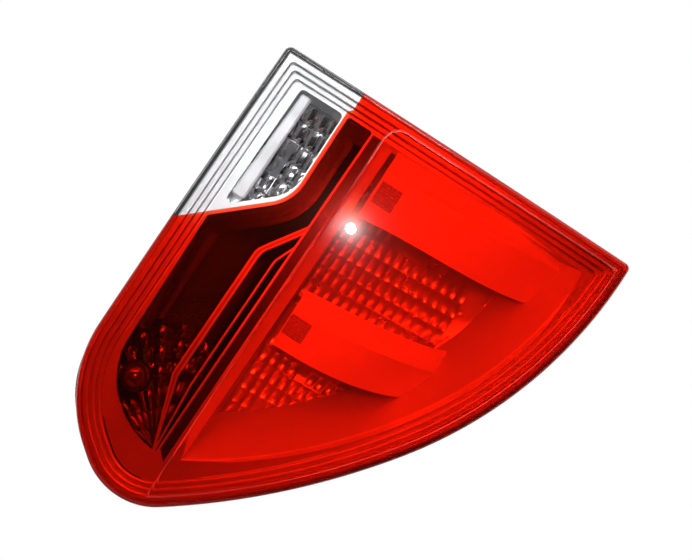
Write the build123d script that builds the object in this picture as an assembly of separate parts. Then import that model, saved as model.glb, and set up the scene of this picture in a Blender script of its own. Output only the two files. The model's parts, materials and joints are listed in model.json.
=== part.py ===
from build123d import *
import os
from math import cos, hypot, radians, sin

os.makedirs("parts", exist_ok=True)

# Tail light cluster, sizes in mm.
# The lens faces -Y, +Z is up and +X is to the right as seen from the lens side.
# Places on the face are (u, v): u to the right and v down from the top left corner of the lens.
# The origin is the seat of the upper stud, where its collar meets the car body.

# Depth levels along Y; the body panel is at 0 and the front has the lowest numbers
BACK_Y = -9.0
FLANGE_Y = -58.0
LENS_FRONT_Y = -88.0
BOWL_FLOOR_Y = -44.0
BOWL_RIM_Y = -63.0
MOUTH_Y = -65.5

# Lens outline; places along the right side are counted back from its tip
LENS_WIDTH = 203.2
LEFT_CORNER = (-4.4, 201.8)
BOTTOM_CORNER = (48.3, 243.9)
SIDE_MID = (LENS_WIDTH - 10.9, 74.0)
SIDE_BEND = (LENS_WIDTH - 44.7, 140.6)
TOP_CORNER_R = 3.5
TIP_R = 3.0
BOTTOM_R = 36.0
LEFT_R = 70.0
FLANGE_LEFT_R = 52.0
LEAN = 0.0228

# Lens wall
LENS_R = 600.0
CROWN = (96.0, 96.0)
LENS_WALL = 2.8
PAD_STEP = 1.8
PAD_INSET = 5.0
PAD_LEFT = 69.5
PAD_CORNER_R = 9.0
PAD_EDGE_R = 1.5
RIM_EDGE_R = 2.4

# Clear corner of the lens
CLEAR_SIDE = 43.0
CLEAR_NOTCH = 2.0
CLEAR_NOTCH_V = 10.5
CLEAR_DIAGONAL = (36.3, 70.0)
DIAGONAL_SLOPE = 0.873
CLEAR_BEND_R = 22.0

# Housing; the cross ribs by their right ends, the upright rib by its two heights
FLANGE_T = 4.0
FLANGE_INSET = 0.6
WALL = 2.5
BASIN_INSET = 4.0
BASIN_DRAFT = 3.0
RIB_T = 1.6
RIB_H = 3.2
CROSS_RIBS = ((LENS_WIDTH - 27.2, 40.0), (LENS_WIDTH - 33.2, 80.0))
UPRIGHT_RIB = (22.0, 108.0)
LOWER_RIBS = (((60.0, 182.0), (112.0, 182.0)), ((100.0, 160.0), (100.0, 196.0)))
RIB_CLEARANCE = 6.0
RIB_OVERHANG = 1.0
PORT_WALL = 1.5

# Bezel, depths counted inwards from the lens crown
BEZEL_INSET = 3.2
BEZEL_WALL = 2.2
BEZEL_GAP = 2.5
STEP_INSETS = (6.4, 9.4, 12.4)
STEP_DEPTH = 2.2
STEP_EDGE_R = 0.9
STEP_CORNER_R = 2.0
GROOVE_WIDTH = 0.7
GROOVE_DEPTH = 1.2
SHELL_T = 2.6
SEAT_GAP = 0.3

# Windows in the bezel
REVERSE_TOP = 14.5
REVERSE_LEFT = 17.2
REVERSE_MARGIN = 1.0
REVERSE_FOOT = 15.3
REVERSE_LINE_OFFSET = 3.3
REVERSE_CORNER_R = 2.5
FOG_TOP = 14.0
FOG_RIGHT_TOP = 58.8
FOG_TIP_V = 206.5
FOG_LOW_MID = (29.5, 198.4)
FOG_LEFT_LOW = (12.3, 170.0)
FOG_MARGIN = 1.6
FOG_CORNER_R = 1.5
MAIN_LEFT_TOP = (72.0, 17.0)
MAIN_SIDE = ((LENS_WIDTH - 17.2, 15.0), (LENS_WIDTH - 23.6, 61.0), (LENS_WIDTH - 42.7, 107.5))
MAIN_TIP = (67.3, 203.0)
MOUTH_LEFT_TOP = (66.2, 14.8)
MOUTH_SIDE = ((LENS_WIDTH - 15.6, 13.0), (LENS_WIDTH - 21.8, 61.8), (LENS_WIDTH - 41.3, 109.0))
MOUTH_TIP = (62.2, 207.2)
FLOOR_LEFT_TOP = (71.6, 20.0)
FLOOR_SIDE = ((LENS_WIDTH - 53.2, 20.0), (LENS_WIDTH - 49.2, 52.4), (LENS_WIDTH - 57.2, 84.0))
FLOOR_TIP = (70.2, 174.0)

# Slats across the fog window: width, u at the height of the knee, height v of the upper end
SLATS = ((0.9, 40.6, 68.0), (0.9, 43.0, 71.5), (0.9, 51.2, 78.0))
SLAT_KNEE_V = 168.0
SLAT_TURN_V = 94.0
SLAT_FOOT = (53.6, 208.0)
SLAT_BEND_R = 9.0
SLAT_DROP = 0.3

# Divider trim
TRIM_TOP = 15.0
TRIM_LEFT = 59.9
TRIM_WIDTH = 4.9
TRIM_FOOT = 208.5
TRIM_GROOVE = 1.2
TRIM_RISE = 0.6

# Light blades: at each place u, the top edge, the crease and the lower edge as (v, y)
BLADE_T = 2.4
BLADE_CREASE_T = 2.9
UPPER_BLADE = (
    (75.0, (14.0, -64.0), (27.7, -77.0), (53.6, -71.0)),
    (LENS_WIDTH - 81.2, (14.0, -63.0), (24.8, -75.5), (49.6, -69.5)),
    (LENS_WIDTH - 45.2, (13.6, -57.0), (22.6, -68.0), (46.2, -60.0)),
    (LENS_WIDTH - 23.2, (13.0, -47.0), (21.0, -52.0), (40.0, -46.0)),
)
LOWER_BLADE = (
    (74.0, (97.7, -66.0), (109.0, -76.0), (129.2, -71.0)),
    (LENS_WIDTH - 91.2, (93.6, -64.0), (105.6, -75.0), (126.4, -69.0)),
    (LENS_WIDTH - 69.2, (90.0, -59.0), (101.8, -68.0), (121.0, -60.0)),
    (LENS_WIDTH - 50.2, (84.0, -43.0), (97.0, -46.0), (110.0, -42.0)),
)

# Reversing light bar
BAR_TOP = 17.1
BAR_FOOT = 77.5
BAR_TOP_SPAN = (19.3, 24.7)
BAR_FOOT_SPAN = (15.9, 23.2)
BAR_FRONT_Y = -71.0
BAR_T = 6.0
BAR_TOP_R = 1.5
BAR_FOOT_R = 2.5
BAR_CHAMFER = 1.0
BAR_LEG_R = 1.5
BAR_LEG_ROOT = 2.0
BAR_LEGS = (26.0, 68.0)

# Bulbs
REVERSE_BULB = (17.0, 52.0)
FOG_BULB = (25.0, 181.0)
STOP_BULB_V = 36.0
STOP_BULB_SHIFT = 4.8
TAIL_BULB_SHIFT = 9.0
TAIL_BULB_DROP = 14.5
GLASS_R = 13.0
GLASS_LENGTH = 33.0
REVERSE_GLASS_R = 5.0
FOG_GLASS_R = 7.5
SMALL_GLASS_LENGTH = 24.0
GLASS_T = 0.9
GLASS_SEAT = 0.3
GLASS_SHOULDER = 0.25
CAP_R = 7.5
SMALL_CAP_R = 4.0
CAP_LENGTH = 18.0
SMALL_CAP_LENGTH = 29.0
CAP_GAP = 0.2
CAP_RISE = 2.0
PORT_GAP = 0.8
PIN_R = 1.0
PIN_REACH = 1.1
PIN_DROP = 6.0

# Reflectors
DISH_WALL = 2.5
TRAY_WALL = 1.2
DISH_Y = -26.0
DISH_FOCUS = 75.0
REVERSE_DISH_Y = -40.0
REVERSE_DISH_FOCUS = 40.0
REFLECTOR_SPLIT = 100.5
SPLIT_GAP = 0.5
FACET_U = 5.1
FACET_V = 8.1
FACET_GAIN = 1.35
FACET_DROOP = 0.07
FACET_LIFT = 1.2
STOP_FACETS = (72.4, 48.0, 14, 7)
TAIL_FACETS = (72.4, 123.5, 10, 6)
REVERSE_FACETS = (22.8, 18.6, 3, 6)
REVERSE_FACET_U = 7.0
REVERSE_FACET_V = 10.0
SHELF_STEP = 3.1
SHELF_DROP = 2.0
SHELF_COUNT = 3
TROUGH_R = 34.0
TROUGH_AXIS = (30.0, -70.0)
FLUTE_SIDES = 22
FOG_BACK_Y = -32.0
FOG_OPEN_Y = -57.0
FAN_HUB = (53.2, 206.0)
FAN_HUB_Y = -56.0
FAN_EDGE_Y = -37.0
FAN_COUNT = 8
FAN_REACH = 64.0
FAN_RISE = 4.5
FAN_SPAN = (4.0, 84.0)

# Bulb carrier
GASKET_T = 1.5
CARRIER_T = 2.5
WEB_WIDTH = 30.0
PAD_R = 19.0
SMALL_PAD_R = 10.0
CUP_WALL = 2.0
EAR_R = 7.0
EAR_WIDTH = 12.0
PLUG_V = 74.0
PLUG_SHIFT = 5.0
PLUG_W = 16.0
PLUG_L = 30.0
PLUG_H = 14.0
PLUG_WALL = 1.8
PIN_W = 0.8
PIN_L = 2.8
PIN_H = 8.0
PIN_PITCH = 7.0
PIN_ROW = 5.0
STRIP_W = 4.0
STRIP_T = 0.6
STRIP_OFFSET = 8.5
STRIP_GAP = 0.5
SCREW_SHARES = (0.52, 0.53)
EAR_REACH = 21.0
SCREW_HEAD_R = 4.2
SCREW_HEAD_H = 2.6
SCREW_R = 1.9
SCREW_LENGTH = 12.0
SCREW_GAP = 0.1
SCREW_CLEARANCE = 0.3
SCREW_BOSS_R = 4.6
RECESS_W = 1.0
RECESS_L = 4.6

# Studs, vents and seal; the vents by their gap to the upright rib and their height
STUD_SPOTS = ((150.0, 58.0), (80.0, 196.0), (20.0, 112.0))
STUD_R = 3.0
STUD_LENGTH = 18.0
STUD_TIP = 0.8
STUD_ROOT_R = 4.0
STUD_ROOT_LENGTH = 15.0
STUD_COLLAR_R = 6.0
STUD_COLLAR_H = 3.0
BOSS_R = 8.0
BOSS_FLOOR = 3.0
VENT_GAPS = ((10.0, 97.0), (18.0, 25.0))
VENT_R = 6.5
VENT_H = 4.0
VENT_EDGE_R = 1.5
VENT_STEM_R = 3.5
VENT_STEM_H = 2.0
SEAL_T = 5.0
SEAL_W = 3.2

# Levels and places that follow from the sizes above
FAR = 2 * LENS_WIDTH
PANEL_FRONT_Y = LENS_FRONT_Y - LENS_WALL
INNER_BACK_Y = BACK_Y - WALL
CARRIER_FRONT_Y = BACK_Y + GASKET_T
CARRIER_BACK_Y = CARRIER_FRONT_Y + CARRIER_T
STUD_ROOT_Y = -STUD_COLLAR_H - STUD_ROOT_LENGTH
BEZEL_DEPTH = PAD_STEP + LENS_WALL + BEZEL_GAP
FLOOR_DEPTH = BEZEL_DEPTH + STEP_DEPTH * len(STEP_INSETS)
REFLECTOR_DEPTH = FLOOR_DEPTH + SHELL_T + SEAT_GAP
FOG_LIP = REVERSE_MARGIN + FOG_MARGIN - TRAY_WALL - SEAT_GAP
STOP_BULB = ((FLOOR_LEFT_TOP[0] + FLOOR_SIDE[0][0]) / 2 - STOP_BULB_SHIFT, STOP_BULB_V)
TAIL_BULB = (STOP_BULB[0] - TAIL_BULB_SHIFT, REFLECTOR_SPLIT + TAIL_BULB_DROP)
PLUG = (STOP_BULB[0] - PLUG_SHIFT, PLUG_V)
RIB_LEFT = STOP_BULB[0] + PAD_R + RIB_CLEARANCE
UPRIGHT_U = RIB_LEFT + RIB_OVERHANG
RIB_LINES = [((RIB_LEFT, v), (u, v)) for u, v in CROSS_RIBS]
RIB_LINES += [((UPRIGHT_U, UPRIGHT_RIB[0]), (UPRIGHT_U, UPRIGHT_RIB[1]))]
RIB_LINES += LOWER_RIBS
VENT_SPOTS = [(UPRIGHT_U + gap, v) for gap, v in VENT_GAPS]


def spot(u, v):
    """Place on the face as flat (x, z), counted from the upper stud."""
    return (u - STUD_SPOTS[0][0], STUD_SPOTS[0][1] - v)


def at(u, v, y):
    """Place on the face as a point in the object's frame."""
    x, z = spot(u, v)
    return (x, y, z)


def leaned(u, v, start):
    """Place on an upright line that leans with the left edge, known by its u at the height start."""
    return (u - (v - start) * LEAN, v)


def between(a, b, share):
    """Place on the straight line from a to b."""
    return (a[0] + (b[0] - a[0]) * share, a[1] + (b[1] - a[1]) * share)


def level(y):
    """Plane of the face at a depth level, looking towards the front."""
    return Plane((0, y, 0), (1, 0, 0), (0, -1, 0))


def prism(shape, back, front):
    """Solid over a flat shape, from its rear level to its front level."""
    return extrude(level(back) * shape, amount=back - front)


def slope(rear_shape, back, front_shape, front):
    """Solid whose straight sides join a shape at its rear level to one at its front level."""
    return loft([level(back) * rear_shape, level(front) * front_shape], ruled=True)


def rod(u, v, radius, back, front):
    """Round rod along Y."""
    return Pos(*at(u, v, (back + front) / 2)) * Rot(90, 0, 0) * Cylinder(radius, back - front)


def dome(depth):
    """Ball whose front is the crown of the lens, moved inwards by a depth."""
    return Pos(*at(*CROWN, LENS_FRONT_Y + LENS_R)) * Sphere(LENS_R - depth)


def rounded(face, rounds):
    """The face with each named corner rounded."""
    for corner, radius in rounds:
        target = Vector(*spot(*corner))
        nearest = face.vertices().sort_by_distance(target)[0]
        face = fillet(nearest, radius)
    return face


def flat(points, rounds=()):
    """Straight-sided face from (u, v) corners; rounds gives (corner number, radius)."""
    face = make_face(Polyline([spot(*p) for p in points], close=True))
    return rounded(face, [(points[k], r) for k, r in rounds])


def outline(inset=0.0, left_r=LEFT_R):
    """Lens outline as a face, moved inwards by an inset."""
    corner, tip = (0, 0), (LENS_WIDTH, 0)
    side = ThreePointArc(spot(*tip), spot(*SIDE_MID), spot(*SIDE_BEND))
    edges = [
        Line(spot(*corner), spot(*tip)),
        side,
        TangentArc(side @ 1, spot(*BOTTOM_CORNER), tangent=side % 1),
        Line(spot(*BOTTOM_CORNER), spot(*LEFT_CORNER)),
        Line(spot(*LEFT_CORNER), spot(*corner)),
    ]
    rounds = [(corner, TOP_CORNER_R), (tip, TIP_R), (BOTTOM_CORNER, BOTTOM_R), (LEFT_CORNER, left_r)]
    face = rounded(make_face(edges), rounds)
    if inset:
        face = offset(face, amount=-inset)
    return face


def step_outline(inset):
    """Lens outline moved inwards far enough to lose its round corners, with new ones."""
    corners = ((inset, inset), (LENS_WIDTH - inset, inset))
    return rounded(outline(inset), [(corner, STEP_CORNER_R) for corner in corners])


def diagonal(u, drop=0.0):
    """Height v of the clear corner's slanting edge at u, moved down by drop."""
    return CLEAR_DIAGONAL[1] + (CLEAR_DIAGONAL[0] - u) * DIAGONAL_SLOPE + drop


def clear_zone():
    """Part of the face covered by the clear lens."""
    out = LENS_WALL
    notch = CLEAR_SIDE + CLEAR_NOTCH
    left = LEFT_CORNER[0] - out
    points = [
        (left, -out),
        (notch, -out),
        (notch, CLEAR_NOTCH_V),
        (CLEAR_SIDE, CLEAR_NOTCH_V + CLEAR_NOTCH),
        (CLEAR_SIDE, diagonal(CLEAR_SIDE)),
        (left, diagonal(left)),
    ]
    return flat(points, [(4, CLEAR_BEND_R)])


def reverse_window():
    """Window of the reversing light, inside the clear corner."""
    right = CLEAR_SIDE - REVERSE_MARGIN
    points = [
        (REVERSE_LEFT, REVERSE_TOP),
        (right, REVERSE_TOP),
        (right, diagonal(right, -REVERSE_LINE_OFFSET)),
        (REVERSE_FOOT, diagonal(REVERSE_FOOT, -REVERSE_LINE_OFFSET)),
    ]
    bend_r = CLEAR_BEND_R - REVERSE_MARGIN
    corner_r = REVERSE_CORNER_R
    return flat(points, [(0, corner_r), (1, corner_r), (2, bend_r), (3, corner_r)])


def fog_window(drop=0.0):
    """Window of the fog light; drop moves its upper and clear sides inwards."""
    away = FOG_MARGIN + drop
    slant = away * hypot(1, DIAGONAL_SLOPE)
    side, top = CLEAR_SIDE + away, FOG_TOP + drop
    slot_left, slot_right = (side, top), leaned(FOG_RIGHT_TOP, top, FOG_TOP)
    tip = leaned(FOG_RIGHT_TOP, FOG_TIP_V, FOG_TOP)
    bend = (side, diagonal(side, slant))
    left_top = (FOG_LEFT_LOW[0], diagonal(FOG_LEFT_LOW[0], slant))
    face = make_face([
        Line(spot(*slot_left), spot(*slot_right)),
        Line(spot(*slot_right), spot(*tip)),
        ThreePointArc(spot(*tip), spot(*FOG_LOW_MID), spot(*FOG_LEFT_LOW)),
        Line(spot(*FOG_LEFT_LOW), spot(*left_top)),
        Line(spot(*left_top), spot(*bend)),
        Line(spot(*bend), spot(*slot_left)),
    ])
    corners = [(p, FOG_CORNER_R) for p in (left_top, slot_left, slot_right)]
    return rounded(face, corners + [(bend, CLEAR_BEND_R + away)])


def chamber(left_top, side, tip):
    """Main chamber outline: straight top and left side, right side of two smooth arcs."""
    upper = ThreePointArc(*(spot(*p) for p in side))
    lower = TangentArc(upper @ 1, spot(*tip), tangent=upper % 1)
    top = Line(spot(*left_top), upper @ 0)
    return make_face([top, upper, lower, Line(lower @ 1, spot(*left_top))])


def main_mouth():
    """Outer edge of the main chamber, at the front of the bezel."""
    return chamber(MOUTH_LEFT_TOP, MOUTH_SIDE, MOUTH_TIP)


def main_window():
    """Rim of the main bowl, at the foot of the bright ledge."""
    return chamber(MAIN_LEFT_TOP, MAIN_SIDE, MAIN_TIP)


def bowl_floor():
    """Opening in the floor of the main bowl, in front of the reflectors."""
    return chamber(FLOOR_LEFT_TOP, FLOOR_SIDE, FLOOR_TIP)


def make_lens():
    """Crowned lens shell with a skirt and a raised main pad, before it is split by colour."""
    pad_zone = flat([(PAD_LEFT, -FAR), (FAR, -FAR), (FAR, FAR), leaned(PAD_LEFT, FAR, 0)])
    pad = outline(PAD_INSET) & pad_zone
    pad = rounded(pad, [((PAD_LEFT, PAD_INSET), PAD_CORNER_R)])
    low = prism(outline(), FLANGE_Y, PANEL_FRONT_Y) & dome(PAD_STEP)
    low = fillet(low.faces().sort_by(Axis.Y)[0].edges(), RIM_EDGE_R)
    high = prism(pad, FLANGE_Y, PANEL_FRONT_Y) & dome(0)
    high = fillet(high.faces().sort_by(Axis.Y)[0].edges(), PAD_EDGE_R)
    shell = low + high
    low_room = prism(outline(LENS_WALL), FLANGE_Y + LENS_WALL, PANEL_FRONT_Y) & dome(PAD_STEP + LENS_WALL)
    high_room = prism(offset(pad, amount=-LENS_WALL), FLANGE_Y, PANEL_FRONT_Y) & dome(LENS_WALL)
    return shell - low_room - high_room


def trim_strip(low_depth, high_depth):
    """Upright strip between two depths under the lens crown."""
    right = TRIM_LEFT + TRIM_WIDTH
    shape = flat([
        (TRIM_LEFT, TRIM_TOP),
        (right, TRIM_TOP),
        leaned(right, TRIM_FOOT, TRIM_TOP),
        leaned(TRIM_LEFT, TRIM_FOOT - TRIM_WIDTH, TRIM_TOP),
    ])
    return (prism(shape, FLANGE_Y, PANEL_FRONT_Y) & dome(high_depth)) - dome(low_depth)


def stepped_frame():
    """Border of the bezel: lands with rounded edges and grooves, stepping down towards the middle."""
    frame = prism(outline(BEZEL_INSET), FLANGE_Y, PANEL_FRONT_Y) & dome(BEZEL_DEPTH)
    for k, inset in enumerate(STEP_INSETS):
        deeper = dome(BEZEL_DEPTH + STEP_DEPTH * (k + 1))
        frame -= prism(step_outline(inset), FLANGE_Y, PANEL_FRONT_Y) - deeper
    lands = frame.faces().filter_by(GeomType.SPHERE)
    edges = [edge for land in lands for wire in land.inner_wires() for edge in wire.edges()]
    frame = fillet(edges, STEP_EDGE_R)
    for k, inset in enumerate(STEP_INSETS):
        groove = step_outline(inset) - step_outline(inset + GROOVE_WIDTH)
        deeper = dome(BEZEL_DEPTH + STEP_DEPTH * (k + 1) + GROOVE_DEPTH)
        frame -= prism(groove, FLANGE_Y, PANEL_FRONT_Y) - deeper
    return frame


def slats():
    """Narrow strips across the fog window, bent at a knee and turned to the trim at the top."""
    strips = []
    for width, knee_u, top in SLATS:
        turn = leaned(knee_u, SLAT_TURN_V, SLAT_KNEE_V)
        route = (SLAT_FOOT, (knee_u, SLAT_KNEE_V), turn, (TRIM_LEFT, top))
        line = FilletPolyline([spot(*p) for p in route], radius=SLAT_BEND_R)
        strips.append(prism(trace(line, width), FLANGE_Y, PANEL_FRONT_Y))
    return ((Part() + strips) & dome(FLOOR_DEPTH + SLAT_DROP)) - dome(FLOOR_DEPTH + SHELL_T - SLAT_DROP)


def make_bezel():
    """Stepped frame with three windows, slats and the main bowl."""
    frame = stepped_frame()
    inside = outline(BEZEL_INSET + BEZEL_WALL)
    frame -= prism(inside, FLANGE_Y + BEZEL_WALL, PANEL_FRONT_Y) & dome(FLOOR_DEPTH + SHELL_T)
    frame -= prism(reverse_window(), BACK_Y, PANEL_FRONT_Y)
    frame -= prism(fog_window(), BACK_Y, PANEL_FRONT_Y)
    frame += slats() & prism(offset(fog_window(), amount=SHELL_T), BACK_Y, PANEL_FRONT_Y)
    floor, rim, mouth = bowl_floor(), main_window(), main_mouth()
    walls = [offset(face, amount=BEZEL_WALL) for face in (floor, rim, mouth)]
    bowl = slope(walls[0], BOWL_FLOOR_Y, walls[1], BOWL_RIM_Y)
    bowl += slope(walls[1], BOWL_RIM_Y, walls[2], MOUTH_Y)
    bowl += prism(walls[2], MOUTH_Y, PANEL_FRONT_Y)
    room = slope(floor, BOWL_FLOOR_Y, rim, BOWL_RIM_Y)
    room += slope(rim, BOWL_RIM_Y, mouth, MOUTH_Y)
    room += prism(mouth, MOUTH_Y, PANEL_FRONT_Y)
    frame += bowl & dome(FLOOR_DEPTH)
    frame -= room
    return frame - trim_strip(FLOOR_DEPTH + TRIM_GROOVE, 0)


def make_blade(sections):
    """Creased bar lofted along X through its sections."""
    faces = []
    for u, top, crease, low in sections:
        front = [at(u, *place) for place in (top, crease, low)]
        deep = ((low, BLADE_T), (crease, BLADE_CREASE_T), (top, BLADE_T))
        rear = [at(u, v, y + thick) for (v, y), thick in deep]
        faces.append(Face(Wire.make_polygon(front + rear)))
    return Part() + loft(faces)


def facet_cells(facets, pitch_u, pitch_v, bulb, dish_y, focus, droop):
    """Blocks with tilted flat fronts that follow a dish around the bulb."""
    left, top, columns, rows = facets
    cells = []
    for i in range(columns):
        for j in range(rows):
            cu = left + (i + 0.5) * pitch_u
            cv = top + (j + 0.5) * pitch_v - droop * (cu - bulb[0])
            du, dv = cu - bulb[0], cv - bulb[1]
            middle = dish_y - (du * du + dv * dv) / (4 * focus) - FACET_LIFT
            points = []
            for su, sv in ((-1, -1), (1, -1), (1, 1), (-1, 1)):
                u = cu + su * pitch_u / 2
                v = cv + sv * pitch_v / 2 - su * droop * pitch_u / 2
                tilt = FACET_GAIN * (du * su * pitch_u + dv * sv * pitch_v) / (4 * focus)
                points.append(at(u, v, middle - tilt))
                points.append(at(u, v, dish_y + DISH_WALL))
            cells.append(ConvexPolyhedron(points))
    return cells


def dish(region, bulb, port_r, dish_y, focus, rim, cells):
    """Round-backed tray with facets, a port for the bulb and a neck down to the back wall."""
    middle = at(*bulb, dish_y - 2 * focus)
    front_ball = Pos(*middle) * Sphere(2 * focus)
    back_ball = Pos(*middle) * Sphere(2 * focus + DISH_WALL)
    inner = offset(region, amount=-TRAY_WALL)
    tray = prism(region, INNER_BACK_Y, PANEL_FRONT_Y) & back_ball & rim
    tray -= prism(inner, INNER_BACK_Y, PANEL_FRONT_Y) & front_ball
    tray += (Part() + cells) & back_ball & prism(region, INNER_BACK_Y, PANEL_FRONT_Y) & rim
    neck_room = basin(BASIN_INSET + WALL + SEAT_GAP, INNER_BACK_Y, FLANGE_Y)
    tray += rod(*bulb, port_r + PORT_WALL, INNER_BACK_Y, dish_y) & neck_room
    return tray - rod(*bulb, port_r, BACK_Y, PANEL_FRONT_Y)


def fan():
    """Pleats that spread from a hub at the foot of the fog light."""
    pleats = []
    step = (FAN_SPAN[1] - FAN_SPAN[0]) / FAN_COUNT
    for k in range(FAN_COUNT):
        points = [at(*FAN_HUB, FAN_HUB_Y), at(*FAN_HUB, FOG_BACK_Y)]
        for turn, rise in ((0, 0), (0.5, FAN_RISE), (1, 0)):
            angle = radians(FAN_SPAN[0] + (k + turn) * step)
            u = FAN_HUB[0] - FAN_REACH * cos(angle)
            v = FAN_HUB[1] - FAN_REACH * sin(angle)
            points.append(at(u, v, FAN_EDGE_Y - rise))
            points.append(at(u, v, FOG_BACK_Y))
        pleats.append(ConvexPolyhedron(points))
    return Part() + pleats


def trough(grow=0.0):
    """Upright bar with flat sides that hollows out the fog reflector."""
    x, z = spot(TROUGH_AXIS[0], FAN_HUB[1] / 2)
    sides = Rot(0, 0, 180 / FLUTE_SIDES) * RegularPolygon(TROUGH_R + grow, FLUTE_SIDES)
    return Pos(x, TROUGH_AXIS[1], z - LENS_WIDTH) * extrude(sides, amount=2 * LENS_WIDTH)


def make_fog_reflector(port_r):
    """Shelves along the clear corner, a fluted trough and a pleated fan at the foot."""
    region = offset(fog_window(), amount=FOG_LIP)
    block = prism(region, FOG_BACK_Y, PANEL_FRONT_Y) & dome(REFLECTOR_DEPTH)
    for k in range(1, SHELF_COUNT):
        window = fog_window(SHELF_STEP * k)
        block -= prism(window, FOG_BACK_Y, PANEL_FRONT_Y) - dome(REFLECTOR_DEPTH + SHELF_DROP * k)
    shelf_room = dome(REFLECTOR_DEPTH + SHELF_DROP * (SHELF_COUNT - 1) + DISH_WALL)
    window = fog_window(SHELF_STEP * SHELF_COUNT)
    well = offset(window, amount=DISH_WALL)
    under = prism(offset(region, amount=-DISH_WALL), FOG_BACK_Y, PANEL_FRONT_Y) & shelf_room
    block -= under - prism(well, FOG_BACK_Y, PANEL_FRONT_Y)
    block -= prism(window, FOG_BACK_Y, PANEL_FRONT_Y) & trough()
    block -= prism(window, FOG_OPEN_Y, PANEL_FRONT_Y)
    fan_top = FAN_HUB[1] - FAN_REACH
    above_fan = flat([(-FAR, -FAR), (FAR, -FAR), (FAR, fan_top), (-FAR, fan_top)])
    block -= prism(window & above_fan, FOG_BACK_Y, FOG_OPEN_Y) - trough(DISH_WALL)
    block += fan() & prism(offset(window, amount=FOG_LIP), FOG_BACK_Y, PANEL_FRONT_Y)
    block += rod(*FOG_BULB, port_r + PORT_WALL, INNER_BACK_Y, FOG_BACK_Y)
    return block - rod(*FOG_BULB, port_r, BACK_Y, PANEL_FRONT_Y)


def envelope(radius, length, neck):
    """Turned bulb shape that stands on its mouth."""
    straight = length - radius
    quarter = (radius * sin(radians(45)), straight + radius * cos(radians(45)))
    shoulder = length * GLASS_SHOULDER
    half = make_face([
        Line((0, 0), (neck, 0)),
        Bezier((neck, 0), (neck, shoulder), (radius, shoulder), (radius, straight)),
        ThreePointArc((radius, straight), quarter, (0, length)),
        Line((0, length), (0, 0)),
    ])
    return revolve(Plane.XZ * half, Axis.Z)


def make_glass(bulb, radius, length, mouth_r, mouth_y):
    """Blown envelope, open at the mouth that stands on the cap."""
    wall = envelope(radius, length, mouth_r)
    wall -= envelope(radius - GLASS_T, length - GLASS_T, mouth_r - GLASS_T)
    return Pos(*at(*bulb, mouth_y)) * Rot(90, 0, 0) * wall


def basin(inset, back, front):
    """Drafted block that narrows towards the back wall."""
    return slope(outline(inset + BASIN_DRAFT), back, outline(inset), front)


def biggest(shape):
    """The largest solid of a cut shape; the offcuts beyond its neighbour are dropped."""
    return max(shape.solids(), key=lambda solid: solid.volume)


def group(shapes):
    """Separate solids kept together in one node."""
    return Compound(children=[shape.solid() for shape in shapes])


def save(node, shape):
    export_step(shape, f"parts/{node}.step")


# Lens, bezel and the pieces that sit on the bezel
lens = make_lens()
clear = prism(clear_zone(), FLANGE_Y + LENS_WALL, PANEL_FRONT_Y)
save("red_lens", lens - clear)
save("clear_lens", lens & clear)
bezel = make_bezel()
save("inner_bezel", bezel)
save("divider_trim", trim_strip(FLOOR_DEPTH + TRIM_GROOVE, FLOOR_DEPTH - TRIM_RISE))
save("upper_light_blade", biggest(make_blade(UPPER_BLADE) - bezel))
save("lower_light_blade", biggest(make_blade(LOWER_BLADE) - bezel))

# Bulbs: name, place, envelope radius and length, cap radius and length
bulbs = (
    ("reverse", REVERSE_BULB, REVERSE_GLASS_R, SMALL_GLASS_LENGTH, SMALL_CAP_R, SMALL_CAP_LENGTH),
    ("fog", FOG_BULB, FOG_GLASS_R, SMALL_GLASS_LENGTH, SMALL_CAP_R, SMALL_CAP_LENGTH),
    ("stop", STOP_BULB, GLASS_R, GLASS_LENGTH, CAP_R, CAP_LENGTH),
    ("tail", TAIL_BULB, GLASS_R, GLASS_LENGTH, CAP_R, CAP_LENGTH),
)
port_r = {}
for name, _, glass_r, _, cap_r, _ in bulbs:
    port_r[name] = max(glass_r, cap_r + CAP_GAP + CUP_WALL) + PORT_GAP

# Reflectors behind the bezel
everywhere = flat([(-FAR, -FAR), (FAR, -FAR), (FAR, FAR), (-FAR, FAR)])
floor_rim = prism(everywhere, INNER_BACK_Y, BOWL_FLOOR_Y)
tray = offset(bowl_floor(), amount=BEZEL_WALL)
upper_half = flat([(-FAR, -FAR), (FAR, -FAR), (FAR, REFLECTOR_SPLIT), (-FAR, REFLECTOR_SPLIT)])
lower_top = REFLECTOR_SPLIT + SPLIT_GAP
lower_half = flat([(-FAR, lower_top), (FAR, lower_top), (FAR, FAR), (-FAR, FAR)])
for name, half, bulb, facets in (
    ("stop", upper_half, STOP_BULB, STOP_FACETS),
    ("tail", lower_half, TAIL_BULB, TAIL_FACETS),
):
    cells = facet_cells(facets, FACET_U, FACET_V, bulb, DISH_Y, DISH_FOCUS, FACET_DROOP)
    save(f"{name}_reflector", dish(tray & half, bulb, port_r[name], DISH_Y, DISH_FOCUS, floor_rim, cells))
cells = facet_cells(
    REVERSE_FACETS, REVERSE_FACET_U, REVERSE_FACET_V, REVERSE_BULB, REVERSE_DISH_Y, REVERSE_DISH_FOCUS, 0
)
reverse_reflector = dish(
    offset(reverse_window(), amount=TRAY_WALL), REVERSE_BULB, port_r["reverse"], REVERSE_DISH_Y,
    REVERSE_DISH_FOCUS, dome(REFLECTOR_DEPTH), cells,
)
save("reverse_reflector", reverse_reflector)
save("fog_reflector", make_fog_reflector(port_r["fog"]))

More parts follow.
